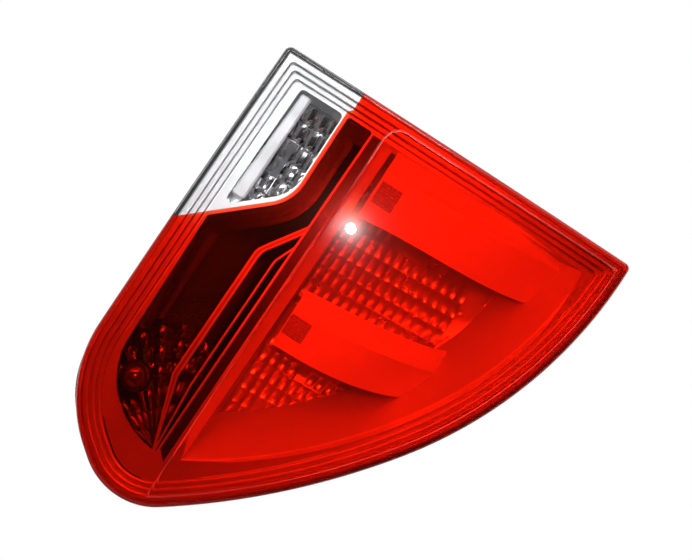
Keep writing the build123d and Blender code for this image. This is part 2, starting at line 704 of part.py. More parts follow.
# Reversing light bar on two legs
bar_face = flat([
    (BAR_TOP_SPAN[0], BAR_TOP),
    (BAR_TOP_SPAN[1], BAR_TOP),
    (BAR_FOOT_SPAN[1], BAR_FOOT),
    (BAR_FOOT_SPAN[0], BAR_FOOT),
], [(0, BAR_TOP_R), (1, BAR_TOP_R), (2, BAR_FOOT_R), (3, BAR_FOOT_R)])
bar = prism(bar_face, BAR_FRONT_Y + BAR_T, BAR_FRONT_Y)
bar = chamfer(bar.edges().group_by(Axis.Y)[0], BAR_CHAMFER)
leg_u = (BAR_FOOT_SPAN[0] + BAR_TOP_SPAN[1]) / 2
for v in BAR_LEGS:
    bar += rod(leg_u, v, BAR_LEG_R, REVERSE_DISH_Y + DISH_WALL, BAR_FRONT_Y + BAR_LEG_ROOT)
save("reverse_light_bar", biggest(bar - reverse_reflector))

# Housing: flange, drafted basin, bosses, ribs and ports
screw_spots = (
    between(REVERSE_BULB, STOP_BULB, SCREW_SHARES[0]),
    between(FOG_BULB, TAIL_BULB, SCREW_SHARES[1]),
    (PLUG[0] + EAR_REACH, PLUG[1]),
)
flange_face = outline(FLANGE_INSET, FLANGE_LEFT_R)
housing = prism(flange_face, FLANGE_Y + FLANGE_T, FLANGE_Y)
housing += basin(BASIN_INSET, BACK_Y, FLANGE_Y + FLANGE_T / 2)
housing -= basin(BASIN_INSET + WALL, INNER_BACK_Y, FLANGE_Y)
for u, v in STUD_SPOTS:
    housing += rod(u, v, BOSS_R, -STUD_COLLAR_H, STUD_ROOT_Y - BOSS_FLOOR)
for u, v in screw_spots:
    housing += rod(u, v, SCREW_BOSS_R, BACK_Y, CARRIER_BACK_Y - SCREW_LENGTH - BOSS_FLOOR)
for start, end in RIB_LINES:
    wide, tall = abs(end[0] - start[0]) + RIB_T, abs(end[1] - start[1]) + RIB_T
    housing += Pos(*at(*between(start, end, 0.5), BACK_Y + RIB_H / 2)) * Box(wide, RIB_H, tall)
for u, v in STUD_SPOTS:
    housing -= rod(u, v, STUD_ROOT_R, 0, STUD_ROOT_Y)
for u, v in screw_spots:
    housing -= rod(u, v, SCREW_R + SCREW_GAP, 0, CARRIER_BACK_Y - SCREW_LENGTH - SCREW_GAP)
for name, bulb, *_ in bulbs:
    housing -= rod(*bulb, port_r[name], 0, INNER_BACK_Y - WALL)
save("housing", housing)

# Bulb carrier: webs between the bulbs, ears for the screws, cups and the plug shroud
plate_face = trace(Polyline([spot(*b) for b in (REVERSE_BULB, STOP_BULB, TAIL_BULB, FOG_BULB)]), WEB_WIDTH)
plate_face += trace(Line(spot(*PLUG), spot(*screw_spots[-1])), EAR_WIDTH)
plate_face += [Pos(*spot(*s)) * Circle(EAR_R) for s in screw_spots]
for _, bulb, _, _, cap_r, _ in bulbs:
    plate_face += Pos(*spot(*bulb)) * Circle(SMALL_PAD_R if cap_r == SMALL_CAP_R else PAD_R)
carrier = prism(plate_face, CARRIER_BACK_Y, CARRIER_FRONT_Y)
gasket = prism(plate_face, CARRIER_FRONT_Y, BACK_Y)
for name, bulb, glass_r, glass_length, cap_r, cap_length in bulbs:
    mouth_y = CARRIER_FRONT_Y - cap_length
    cup_top = mouth_y + CAP_RISE
    pin_y = mouth_y + PIN_DROP
    bore_r = cap_r + CAP_GAP
    gasket -= rod(*bulb, port_r[name], 0, INNER_BACK_Y)
    carrier += rod(*bulb, bore_r + CUP_WALL, CARRIER_FRONT_Y, cup_top)
    carrier -= rod(*bulb, bore_r, CARRIER_FRONT_Y, mouth_y)
    slot_floor = pin_y + PIN_R + CAP_GAP
    slot = Box(2 * (bore_r + CUP_WALL + CAP_RISE), slot_floor - mouth_y, 2 * (PIN_R + CAP_GAP))
    carrier -= Pos(*at(*bulb, (slot_floor + mouth_y) / 2)) * slot
    cap = rod(*bulb, cap_r, CARRIER_FRONT_Y, mouth_y)
    cap += Pos(*at(*bulb, pin_y)) * Rot(0, 90, 0) * Cylinder(PIN_R, 2 * (cap_r + PIN_REACH))
    save(f"{name}_bulb_cap", cap)
    save(f"{name}_bulb_glass", make_glass(bulb, glass_r, glass_length, cap_r - GLASS_SEAT, mouth_y))
plug_x, plug_z = spot(*PLUG)
shroud = Box(PLUG_W, PLUG_H, PLUG_L) - Box(PLUG_W - 2 * PLUG_WALL, PLUG_H, PLUG_L - 2 * PLUG_WALL)
carrier += Pos(plug_x, CARRIER_BACK_Y + PLUG_H / 2, plug_z) * shroud
pins = []
for i in (-0.5, 0.5):
    for k in (-1, 0, 1):
        place = (plug_x + i * PIN_ROW, CARRIER_BACK_Y + PIN_H / 2, plug_z + k * PIN_PITCH)
        pins.append(Pos(*place) * Box(PIN_W, PIN_H, PIN_L))
save("connector_pins", group(pins))
screws = []
for u, v in screw_spots:
    carrier -= rod(u, v, SCREW_R + SCREW_CLEARANCE, 0, BACK_Y)
    gasket -= rod(u, v, SCREW_R + SCREW_CLEARANCE, 0, INNER_BACK_Y)
    screw = rod(u, v, SCREW_HEAD_R, CARRIER_BACK_Y + SCREW_HEAD_H, CARRIER_BACK_Y)
    screw += rod(u, v, SCREW_R, CARRIER_BACK_Y, CARRIER_BACK_Y - SCREW_LENGTH)
    recess = Box(RECESS_L, SCREW_HEAD_H, RECESS_W) + Box(RECESS_W, SCREW_HEAD_H, RECESS_L)
    screws.append(screw - Pos(*at(u, v, CARRIER_BACK_Y + SCREW_HEAD_H)) * recess)
save("bulb_carrier", carrier)
save("carrier_gasket", gasket)
save("carrier_screws", group(screws))

# Contact strips on the carrier, beside the webs and up to the plug shroud
strips = []
for a, b in ((REVERSE_BULB, STOP_BULB), (FOG_BULB, TAIL_BULB)):
    run = hypot(b[0] - a[0], b[1] - a[1])
    along = ((b[0] - a[0]) / run, (b[1] - a[1]) / run)
    for side in (-STRIP_OFFSET, STRIP_OFFSET):
        ends = [spot(p[0] - along[1] * side, p[1] + along[0] * side) for p in (a, b)]
        strips.append(prism(trace(Line(*ends), STRIP_W), CARRIER_BACK_Y + STRIP_T, CARRIER_BACK_Y))
shroud_end = PLUG_L / 2 + STRIP_GAP
for top, low in ((STOP_BULB[1], PLUG[1] - shroud_end), (PLUG[1] + shroud_end, TAIL_BULB[1])):
    mid = at(PLUG[0], (top + low) / 2, CARRIER_BACK_Y + STRIP_T / 2)
    strips.append(Pos(*mid) * Box(STRIP_W, STRIP_T, low - top))
save("contact_strips", group(strips))

# Studs with a pressed root and a hexagon collar
studs = []
for u, v in STUD_SPOTS:
    shank = rod(u, v, STUD_R, STUD_LENGTH, 0)
    shank = chamfer(shank.edges().group_by(Axis.Y)[-1], STUD_TIP)
    collar = prism(Pos(*spot(u, v)) * RegularPolygon(STUD_COLLAR_R, 6), 0, -STUD_COLLAR_H)
    studs.append(shank + collar + rod(u, v, STUD_ROOT_R, -STUD_COLLAR_H, STUD_ROOT_Y))
save("mounting_studs", group(studs))

# Foam seal behind the flange, and vent caps
seal_front = FLANGE_Y + FLANGE_T
seal = prism(outline(BASIN_INSET - SEAL_W), seal_front + SEAL_T, seal_front)
save("perimeter_seal", seal - prism(outline(BASIN_INSET), seal_front + SEAL_T, seal_front))
vents = []
for u, v in VENT_SPOTS:
    stem_end = BACK_Y + VENT_STEM_H
    head = rod(u, v, VENT_R, stem_end + VENT_H, stem_end)
    head = fillet(head.edges().group_by(Axis.Y)[-1], VENT_EDGE_R)
    vents.append(head + rod(u, v, VENT_STEM_R, stem_end, BACK_Y))
save("vent_caps", group(vents))
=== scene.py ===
import json
from math import cos, pi, radians, sin, sqrt, tan

import bmesh
import bpy
from bpy.props import FloatProperty, FloatVectorProperty, PointerProperty
from bpy.types import Operator, Panel, PropertyGroup
from mathutils import Matrix, Vector
from mathutils.bvhtree import BVHTree


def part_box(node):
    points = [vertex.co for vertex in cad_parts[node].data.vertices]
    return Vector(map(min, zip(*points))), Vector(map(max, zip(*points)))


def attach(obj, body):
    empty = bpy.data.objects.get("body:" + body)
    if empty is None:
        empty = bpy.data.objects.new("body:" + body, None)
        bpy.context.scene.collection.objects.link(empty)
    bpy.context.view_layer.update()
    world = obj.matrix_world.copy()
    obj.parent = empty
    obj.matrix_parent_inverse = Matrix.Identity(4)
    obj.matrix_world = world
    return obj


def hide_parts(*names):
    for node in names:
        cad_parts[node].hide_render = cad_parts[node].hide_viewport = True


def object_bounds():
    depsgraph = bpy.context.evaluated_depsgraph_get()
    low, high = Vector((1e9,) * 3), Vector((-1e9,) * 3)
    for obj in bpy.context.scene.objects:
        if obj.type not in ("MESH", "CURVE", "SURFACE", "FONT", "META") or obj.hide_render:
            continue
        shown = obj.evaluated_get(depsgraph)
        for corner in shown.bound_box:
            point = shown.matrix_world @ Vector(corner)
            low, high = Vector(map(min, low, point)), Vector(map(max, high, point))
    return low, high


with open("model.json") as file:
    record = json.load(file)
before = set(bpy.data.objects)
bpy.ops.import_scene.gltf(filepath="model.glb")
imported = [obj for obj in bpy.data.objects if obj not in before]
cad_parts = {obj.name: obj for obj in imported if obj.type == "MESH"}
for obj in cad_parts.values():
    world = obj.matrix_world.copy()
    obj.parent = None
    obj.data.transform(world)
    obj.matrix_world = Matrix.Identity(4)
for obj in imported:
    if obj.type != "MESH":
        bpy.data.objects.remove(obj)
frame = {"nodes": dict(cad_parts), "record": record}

bl_info = {
    "name": "Tail Light Cluster",
    "version": (1, 0, 0),
    "blender": (4, 5, 0),
    "location": "View3D > Sidebar > Tail Light",
    "description": "Finishes and fine detail of a car's rear lamp, built around its CAD frame",
    "category": "Object",
}

# A millimetre in metres, and the distance under which two points are one
MM = 0.001
MERGE = 1e-6
NODES = frame["nodes"]
CAD_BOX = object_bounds()
FRONT = Vector((0, -1, 0))
BULBS = ("reverse", "fog", "stop", "tail")

# How strongly the lenses and the bulbs bend light
ACRYLIC_IOR = 1.49
GLASS_IOR = 1.5

# Upper left corner of the lens: places on the face are counted from here, to the right and down, in mm
LENS_CORNER = Vector((-150 * MM, 0, 58 * MM))

# Ball of the lens crown, how deep under it the bezel's bowl begins, the plane in front of which a ledge
# stands in the bowl and is given a painted highlight in the pale pearl tone, and how softly these tones meet
CROWN_MIDDLE = Vector((-54 * MM, 512 * MM, -38 * MM))
CROWN_RADIUS = 600 * MM
BOWL_DEPTH = 14.6 * MM
BOWL_EDGE = 0.3 * MM
LEDGE_Y = -62.9 * MM
LEDGE_EDGE = 0.6 * MM

# Facets of the reflectors: how little their triangles turn, sharpest corner, how squarely they face the
# lens, least and most reach in mm, fewest that a reflector shows, and the rings of a facet's swell
FLAT = radians(0.3)
SHARPEST = radians(38)
FACET_FACING = 0.55
FACET_REACH = (1.5, 6.0)
FEWEST_FACETS = 8
SWELL_RINGS = 2

# Fan at the foot of the fog light: its hub on the face, the way it opens and how far, the space that its
# pleats lie in, how squarely they face the lens, their least area, and the reach in mm and least number of
# its cells
FAN_HUB = (53.2, 206.0)
FAN_WAY = Vector((-0.72, 0, 0.69)).normalized()
FAN_LENGTH = 64 * MM
FAN_FRONT = -56.5 * MM
FAN_BACK = -34 * MM
FAN_TOP = -85 * MM
PLEAT_FACING = 0.4
PLEAT_AREA = 6 * MM ** 2
CELL_REACH = (0.9, 5.0)
FEWEST_CELLS = 12
# Heights between which the fan's bright coat fades into the dark one
FAN_FADE = (-98 * MM, -86 * MM)

# Routes of the broad slat's two raised edges from foot to top, and a spot on one of them, on the face
SLAT_EDGES = (
    ((52.56, 204.8), (40.6, 168.0), (42.29, 94.0), (59.9, 68.0)),
    ((52.75, 204.8), (43.0, 168.0), (44.69, 94.0), (59.9, 71.5)),
)
SLAT_SPOT = (41.45, 131.0)
SLAT_CUTS = 8

# Left edge, upper edge, width and height of the grained pads on the face
PADS = {
    "upper_light_blade": (76.4, 31.5, 11.6, 12.0),
    "lower_light_blade": (74.4, 110.8, 11.6, 11.0),
}

# Turns of a filament's coil, steps of one turn, and sides of its wire
COIL_TURNS = 9
COIL_STEPS = 14
WIRE_SIDES = 6

# Groove of a stud's thread, by share of its depth and of its pitch, and steps of one turn
THREAD_GROOVE = ((0, 0.0), (0, 0.12), (1, 0.5), (0, 0.88), (0, 1.0))
THREAD_STEPS = 28
# A stud's thread starts behind this plane
SHANK_START = 0.1 * MM

# An upright contact strip is narrower than this
STRIP_WIDTH = 6 * MM

# Width of the camera's film in mm, the middle of the picture, and the middle of the floor
FILM = 36.0
AIM = Vector((-62.4 * MM, -62 * MM, -24.8 * MM))
FLOOR_MIDDLE = (-60 * MM, -30 * MM)
# Where the dim front of the room turns into its white back, and where its bright upper part begins
ROOM_BACK = (-0.3, 0.3)
ROOM_TOP = (0.48, 0.62)


def colour(name, words, value):
    return FloatVectorProperty(
        name=name, description=words, default=value, subtype="COLOR", size=3, min=0, max=1)


def length(name, words, value):
    """Length, with its default in mm."""
    return FloatProperty(
        name=name, description=words, default=value * MM, unit="LENGTH", subtype="DISTANCE", precision=5)


def share(name, words, value):
    return FloatProperty(name=name, description=words, default=value, min=0, max=1, subtype="FACTOR")


def amount(name, words, value):
    return FloatProperty(name=name, description=words, default=value, min=0)


def turn(name, words, value):
    """Angle, with its default in degrees."""
    return FloatProperty(
        name=name, description=words, default=radians(value), unit="ROTATION", subtype="ANGLE")


class LampFinishes(PropertyGroup):
    """Colours and gloss of the lamp's materials."""

    red: colour("Red lens", "Light that one wall of the red lens lets through", (0.93, 0.084, 0.026))
    body: share("Red body", "How much of the light the red lens scatters in its own body", 0.006)
    clear: colour("Clear lens", "Light that one wall of the clear lens lets through", (0.92, 0.925, 0.93))
    bulb: colour("Bulb glass", "Light that one wall of a bulb lets through", (0.97, 0.975, 0.975))
    bloom: share("Lens bloom", "Weight of the faint haze on the face of the lenses", 0.05)
    silver: colour("Satin silver", "Lacquer on the bezel's frame", (0.58, 0.58, 0.59))
    silver_metal: share("Silver metal", "How metallic the satin lacquer looks", 0.85)
    silver_gloss: share("Silver roughness", "Roughness of the satin lacquer", 0.42)
    # Painted shade: the broad slat's web between its raised edges is darker than the bezel's silver,
    # standing in for the shade that falls there
    slat: colour("Broad slat", "Lacquer between the edges of the fog window's broad slat", (0.3, 0.3, 0.305))
    bowl: colour("Bowl", "Lacquer in the bezel's main bowl", (0.59, 0.59, 0.59))
    bowl_metal: share("Bowl metal", "How metallic the bowl's lacquer looks", 0.5)
    bowl_gloss: share("Bowl roughness", "Roughness of the bowl's lacquer", 0.44)
    # Pearl is also the tone of the painted highlight on the ledge in the bezel's bowl
    pearl: colour("Pearl silver", "Lacquer on the light blades", (0.92, 0.92, 0.92))
    pearl_metal: share("Pearl metal", "How metallic the pearl lacquer looks", 0.15)
    pearl_gloss: share("Pearl roughness", "Roughness of the pearl lacquer", 0.52)
    pad: colour("Blade pads", "Grained pads on the light blades", (0.42, 0.42, 0.43))
    chrome: colour("Bright coat", "Vapour coat of the bright reflectors", (0.9, 0.9, 0.91))
    chrome_gloss: share("Bright roughness", "Roughness of the bright reflectors", 0.06)
    satin_gloss: share("Satin coat roughness", "Roughness of the stop and tail reflectors", 0.22)
    satin_metal: share("Satin coat metal", "How metallic the stop and tail reflectors look", 0.72)
    smoke: colour("Dark coat", "Vapour coat of the fog reflector", (0.2, 0.175, 0.175))
    smoke_gloss: share("Dark roughness", "Least roughness of the fog reflector", 0.1)
    fan: colour("Fan coat", "Vapour coat of the fan at its foot", (0.86, 0.82, 0.8))
    weld: colour("Weld bead", "Melted red plastic under the lens skirt", (0.46, 0.014, 0.012))
    bar: colour("Light bar", "Frosted plastic of the reversing light bar", (0.56, 0.565, 0.575))
    housing: colour("Housing", "Black moulded plastic", (0.011, 0.011, 0.012))
    trim: colour("Divider trim", "Gloss black plastic", (0.012, 0.011, 0.011))
    carrier: colour("Bulb carrier", "Grey glass-filled plastic", (0.19, 0.195, 0.2))
    foam: colour("Foam", "Foam seal, gasket and vent caps", (0.018, 0.018, 0.019))
    brass: colour("Bulb caps", "Plated brass of the bulb caps", (0.72, 0.58, 0.32))
    zinc: colour("Zinc", "Zinc plate on studs and screws", (0.66, 0.66, 0.62))
    zinc_stain: colour("Zinc stain", "Stains on the zinc plate", (0.5, 0.5, 0.42))
    tin: colour("Tin", "Tinned contact strips and pins", (0.74, 0.71, 0.66))


class LampDetails(PropertyGroup):
    """Sizes of the fine detail."""

    facet_seam: length("Facet seam", "Flat seam around each reflector facet", 0.18)
    facet_ring: share("Facet ring", "Width of each ring of a facet's swell, as a share of its reach", 0.28)
    facet_slope: turn("Facet slope", "Slope of a facet's swell at its edge", 27)
    clear_slope: turn("Clear facet slope", "The same for the facets behind the clear corner", 34)
    fan_cell: length("Fan cell", "Length of a cell along the pleats of the fan", 10)
    fan_slope: turn("Fan slope", "Slope of a fan cell's swell at its edge", 42)
    weld_height: length("Weld height", "Height of the weld bead under the lens skirt", 0.5)
    slat_drop: length("Slat drop", "How far the broad slat lies under its raised edges", 0.15)
    slat_thick: length("Slat thickness", "Thickness of the broad slat between its edges", 1.3)
    pad_grain: length("Pad grain", "Spacing of the small pyramids on the blade pads", 1.45)
    pad_rise: length("Pad rise", "Height of the small pyramids", 0.32)
    pad_foot: share("Pad foot", "How far a pad stands off its blade, as a share of its rise", 0.4)
    pad_groove: share("Pad groove", "Flat rim around a pyramid, as a share of the spacing", 0.08)
    coil_radius: length("Coil radius", "Radius of a filament's coil", 0.55)
    coil_wire: length("Coil wire", "Radius of a filament's wire", 0.11)
    coil_half: share("Coil half", "Half length of a coil, as a share of its bulb's radius", 0.36)
    coil_level: share("Coil level", "Height of a coil, as a share of its bulb's length", 0.56)
    post_radius: length("Post radius", "Radius of the wires that carry a filament", 0.3)
    post_foot: share("Post foot", "Spacing of the posts at their foot, as a share of the coil's length", 0.6)
    stem_level: share("Stem level", "Height of the stem between the posts, as a share of the coil's", 0.36)
    stem_foot: share("Stem foot", "Radius of the stem at its foot, as a share of the bulb's", 0.34)
    stem_top: share("Stem top", "Radius of the stem at its top, as a share of the bulb's", 0.2)
    thread_pitch: length("Thread pitch", "Pitch of the stud threads", 1.0)
    thread_depth: length("Thread depth", "Depth of the stud threads", 0.58)
    strip_lap: length("Strip lap", "How far an upright contact strip stands over the one it crosses", 0.05)


class LampStage(PropertyGroup):
    """Camera, lamps and floor."""

    distance: length("Camera distance", "From the camera to the lens", 1300)
    frame_width: length("Frame width", "Width of the picture at the lens", 346)
    tilt: turn("Tilt", "How far the lamp leans over in the picture", 32.95)
    key_power: amount("Key power", "Watts of the small key lamp near the camera", 8.0)
    key_size: length("Key size", "Width of the key lamp", 32)
    key_rise: turn("Key rise", "Angle of the key lamp above the camera", 9.75)
    key_side: turn("Key side", "Angle of the key lamp to the right of the camera", 0.7)
    key_far: length("Key distance", "From the key lamp to the lens", 1500)
    fill_power: amount("Fill power", "Watts of the long fill lamp", 4.5)
    fill_width: length("Fill width", "Width of the fill lamp", 1200)
    fill_height: length("Fill height", "Height of the fill lamp", 210)
    fill_rise: turn("Fill rise", "Angle of the fill lamp above the camera", 44)
    fill_far: length("Fill distance", "From the fill lamp to the lens", 1200)
    room: share("Room", "Level of the room in front of the lamp", 0.012)
    sky: amount("Sky", "Level of the broad light from above", 0.1)
    mirrored: amount("Mirrored sky", "Level of the white room above, as mirrors see it", 1.0)
    floor_drop: length("Floor drop", "From the lamp down to the floor", 420)
    floor_radius: length("Floor radius", "Radius of the floor", 450)
    floor_glow: share("Floor glow", "How far the camera sees the floor as plain white", 0.7)
    paper: colour("Floor paper", "Pale paper of the floor", (0.88, 0.88, 0.88))
    paper_dull: colour("Dull paper", "Duller fibres in the paper", (0.84, 0.84, 0.84))


class Wire:
    """An output socket that takes part in Python arithmetic."""

    def __init__(self, finish, socket):
        self.finish = finish
        self.socket = socket

    def maths(self, operation, *values):
        return self.finish.add("ShaderNodeMath", {"operation": operation}, dict(enumerate(values)))

    def __add__(self, other):
        return self.maths("ADD", self, other)

    __radd__ = __add__

    def __sub__(self, other):
        return self.maths("SUBTRACT", self, other)

    def __rsub__(self, other):
        return self.maths("SUBTRACT", other, self)

    def __mul__(self, other):
        return self.maths("MULTIPLY", self, other)

    __rmul__ = __mul__


class Finish:
    """Node tree of one material or world."""

    def __init__(self, tree):
        self.tree = tree
        tree.nodes.clear()

    def add(self, kind, settings=None, sockets=None, out=0):
        """Make a node: its settings first, then the values or links of its sockets."""
        node = self.tree.nodes.new(kind)
        for key, value in (settings or {}).items():
            setattr(node, key, value)
        for key, value in (sockets or {}).items():
            if isinstance(value, Wire):
                self.tree.links.new(value.socket, node.inputs[key])
            else:
                node.inputs[key].default_value = value
        return Wire(self, node.outputs[out]) if node.outputs else None

    def place(self, stretch=(1, 1, 1)):
        """Object coordinates, stretched along the axes."""
        spot = self.add("ShaderNodeTexCoord", out="Object")
        return self.add("ShaderNodeMapping", {"vector_type": "POINT"}, {"Vector": spot, "Scale": stretch})

    def along(self, axis, spot):
        """One coordinate of a place or direction."""
        return self.add("ShaderNodeSeparateXYZ", None, {0: spot}, axis)

    def noise(self, scale, detail, stretch=(1, 1, 1)):
        """Cloudy pattern from 0 to 1; scale counts its blobs in a metre."""
        return self.add("ShaderNodeTexNoise", None, {
            "Vector": self.place(stretch), "Scale": scale, "Detail": detail, "Roughness": 0.6})

    def cells(self, scale, out="Distance"):
        """Distance to the middle of the nearest cell, or the cell's own colour."""
        return self.add("ShaderNodeTexVoronoi", None, {"Vector": self.place(), "Scale": scale}, out)

    def spread(self, value, low, high, start=0.3, end=0.7):
        """The value between start and end, spread from low to high."""
        return self.add("ShaderNodeMapRange", {"clamp": True}, {
            "Value": value, "From Min": start, "From Max": end, "To Min": low, "To Max": high})

    def blend(self, factor, first, second):
        """Mix of two colours."""
        wired = [value if isinstance(value, Wire) else (*value, 1) for value in (first, second)]
        return self.add("ShaderNodeMix", {"data_type": "RGBA"}, {0: factor, 6: wired[0], 7: wired[1]}, 2)

    def mottle(self, pattern, first, second):
        """Two colours in the patches of a pattern."""
        return self.blend(self.spread(pattern, 0, 1), first, second)

    def relief(self, height, depth):
        """Bump of a height pattern, depth in mm."""
        return self.add("ShaderNodeBump", None, {"Strength": 1.0, "Distance": depth * MM, "Height": height})

    def surface(self, sockets):
        """Principled shader with the sockets given."""
        return self.add("ShaderNodeBsdfPrincipled", None, sockets)

    def mix(self, factor, first, second):
        """Mix of two shaders."""
        return self.add("ShaderNodeMixShader", None, {0: factor, 1: first, 2: second})

    def done(self, shader):
        self.add("ShaderNodeOutputMaterial", None, {"Surface": shader})


def finish_named(name):
    material = bpy.data.materials.new(name)
    material.use_nodes = True
    return material, Finish(material.node_tree)


def shade(tone, factor):
    return tuple(channel * factor for channel in tone)


def lens_finish(name, tint, ior, bloom=0.0, body=0.0):
    """Moulded wall of tinted glass that lamps shine through, faintly wavy and with a few cloudy streaks."""
    material, paint = finish_named(name)
    streaks = paint.noise(scale=26, detail=4, stretch=(1, 1, 0.35))
    waves = paint.noise(scale=45, detail=1)
    glass = paint.surface({
        "Base Color": paint.mottle(streaks, shade(tint, 0.97), tint),
        "Roughness": 0.0,
        "IOR": ior,
        "Transmission Weight": 1 - body,
        "Normal": paint.relief(waves, depth=0.012),
        "Coat Weight": bloom,
        "Coat Roughness": 0.12,
        "Coat IOR": ior})
    through = paint.add("ShaderNodeBsdfTransparent", None, {"Color": (*(sqrt(c) for c in tint), 1)})
    shadow = paint.add("ShaderNodeLightPath", out="Is Shadow Ray")
    paint.done(paint.mix(shadow, glass, through))
    return material


def plastic_finish(name, tone, rough, grain, depth):
    """Moulded plastic with a fine grain, rubbed a little smoother in patches."""
    material, paint = finish_named(name)
    rubbed = paint.noise(scale=70, detail=4)
    paint.done(paint.surface({
        "Base Color": paint.mottle(rubbed, shade(tone, 0.82), shade(tone, 1.12)),
        "Roughness": paint.spread(rubbed, rough * 1.12, rough * 0.86),
        "Normal": paint.relief(paint.cells(grain), depth)}))
    return material


def metal_finish(name, tone, stain, rough, stretch=(1, 1, 1)):
    """Plated metal with stains and fine drawing lines."""
    material, paint = finish_named(name)
    lines = paint.noise(scale=960, detail=2, stretch=stretch)
    patches = paint.noise(scale=160, detail=5)
    paint.done(paint.surface({
        "Base Color": paint.mottle(patches, stain, tone),
        "Metallic": 1.0,
        "Roughness": paint.spread(patches, rough * 1.35, rough * 0.8) + paint.spread(lines, -0.03, 0.03),
        "Normal": paint.relief(lines, depth=0.01)}))
    return material


def lacquer_finish(name, tone, metal, rough):
    """Silver lacquer with fine metal flakes and a faint haze."""
    material, paint = finish_named(name)
    sparkle = paint.add("ShaderNodeSeparateColor", None, {0: paint.cells(5200, "Color")})
    haze = paint.noise(scale=38, detail=3)
    flaked = paint.blend(paint.spread(sparkle, 0, 1, 0, 1), shade(tone, 0.9), shade(tone, 1.06))
    paint.done(paint.surface({
        "Base Color": paint.blend(paint.spread(haze, 0.0, 0.25), flaked, shade(tone, 0.86)),
        "Metallic": metal,
        "Roughness": paint.spread(haze, rough - 0.04, rough + 0.05),
        "Normal": paint.relief(paint.noise(scale=900, detail=2), depth=0.006)}))
    return material


def bezel_finish(looks):
    """Satin silver on the bezel's frame, a paler coat deep in its bowl, and a painted highlight in the pale
    pearl tone on the ledge in the bowl.

    The bowl is told apart by its depth under the lens crown."""
    material, paint = finish_named("satin_silver")
    spot = paint.place()
    ray = paint.add("ShaderNodeVectorMath", {"operation": "SUBTRACT"}, {0: spot, 1: CROWN_MIDDLE})
    reach = paint.add("ShaderNodeVectorMath", {"operation": "LENGTH"}, {0: ray}, "Value")
    brim = CROWN_RADIUS - BOWL_DEPTH
    bowl = paint.spread(reach, 1.0, 0.0, brim - BOWL_EDGE, brim + BOWL_EDGE)
    # Painted highlight: the ledge in front of LEDGE_Y takes the pale pearl tone in place of the bowl's, so
    # that it shows as a bright line
    ledge = paint.spread(paint.along("Y", spot), 1.0, 0.0, LEDGE_Y, LEDGE_Y + LEDGE_EDGE)
    haze = paint.noise(scale=38, detail=3)
    # coat is the bowl's lacquer, with the pearl of the painted highlight on the ledge
    coat = paint.blend(ledge, looks.bowl, looks.pearl)
    tone = paint.blend(bowl, looks.silver, coat)
    dull = paint.blend(bowl, shade(looks.silver, 0.86), paint.blend(0.1, coat, (0, 0, 0)))
    gloss = paint.spread(bowl, looks.silver_gloss, looks.bowl_gloss, 0, 1)
    paint.done(paint.surface({
        "Base Color": paint.blend(paint.spread(haze, 0.0, 0.6), tone, dull),
        "Metallic": paint.spread(bowl, looks.silver_metal, looks.bowl_metal, 0, 1),
        "Roughness": gloss + paint.spread(haze, -0.03, 0.04),
        "Normal": paint.relief(paint.noise(scale=900, detail=2), depth=0.006)}))
    return material


def coat_finish(name, tone, rough, metal=1.0):
    """Vapour coat on plastic: a mirror with a faint haze."""
    material, paint = finish_named(name)
    haze = paint.noise(scale=120, detail=4)
    paint.done(paint.surface({
        "Base Color": paint.mottle(haze, shade(tone, 0.92), tone),
        "Metallic": metal,
        "Roughness": paint.spread(haze, rough * 0.8, rough * 1.3),
        "Normal": paint.relief(paint.noise(scale=300, detail=1), depth=0.004)}))
    return material


def fog_finish(looks):
    """Dark vapour coat, thinner and brighter on the fan at the foot of the fog light."""
    material, paint = finish_named("dark_coat")
    haze = paint.noise(scale=120, detail=4)
    fan = paint.spread(paint.along("Z", paint.place()), 1.0, 0.0, *FAN_FADE)
    tone = paint.blend(fan, looks.smoke, looks.fan)
    dull = paint.blend(fan, shade(looks.smoke, 0.85), shade(looks.fan, 0.85))
    paint.done(paint.surface({
        "Base Color": paint.mottle(haze, dull, tone),
        "Metallic": 1.0,
        "Roughness": paint.spread(haze, looks.smoke_gloss, looks.smoke_gloss * 1.4),
        "Normal": paint.relief(paint.noise(scale=300, detail=1), depth=0.004)}))
    return material


def foam_finish(looks):
    """Closed-cell foam: small round cells and a dusty face."""
    material, paint = finish_named("black_foam")
    pores = paint.spread(paint.cells(1100), 0, 1, 0.1, 0.6)
    dust = paint.noise(scale=90, detail=5)
    paint.done(paint.surface({
        "Base Color": paint.mottle(dust, looks.foam, shade(looks.foam, 2.0)),
        "Roughness": 0.92,
        "Specular IOR Level": 0.25,
        "Normal": paint.relief(pores, depth=0.18)}))
    return material


def carrier_finish(looks):
    """Grey plastic with short glass fibres in it."""
    material, paint = finish_named("grey_carrier")
    fibres = paint.noise(scale=900, detail=2, stretch=(1, 1, 0.12))
    paint.done(paint.surface({
        "Base Color": paint.mottle(fibres, shade(looks.carrier, 0.84), shade(looks.carrier, 1.14)),
        "Roughness": paint.spread(paint.noise(scale=80, detail=3), 0.46, 0.6),
        "Normal": paint.relief(fibres, depth=0.02)}))
    return material


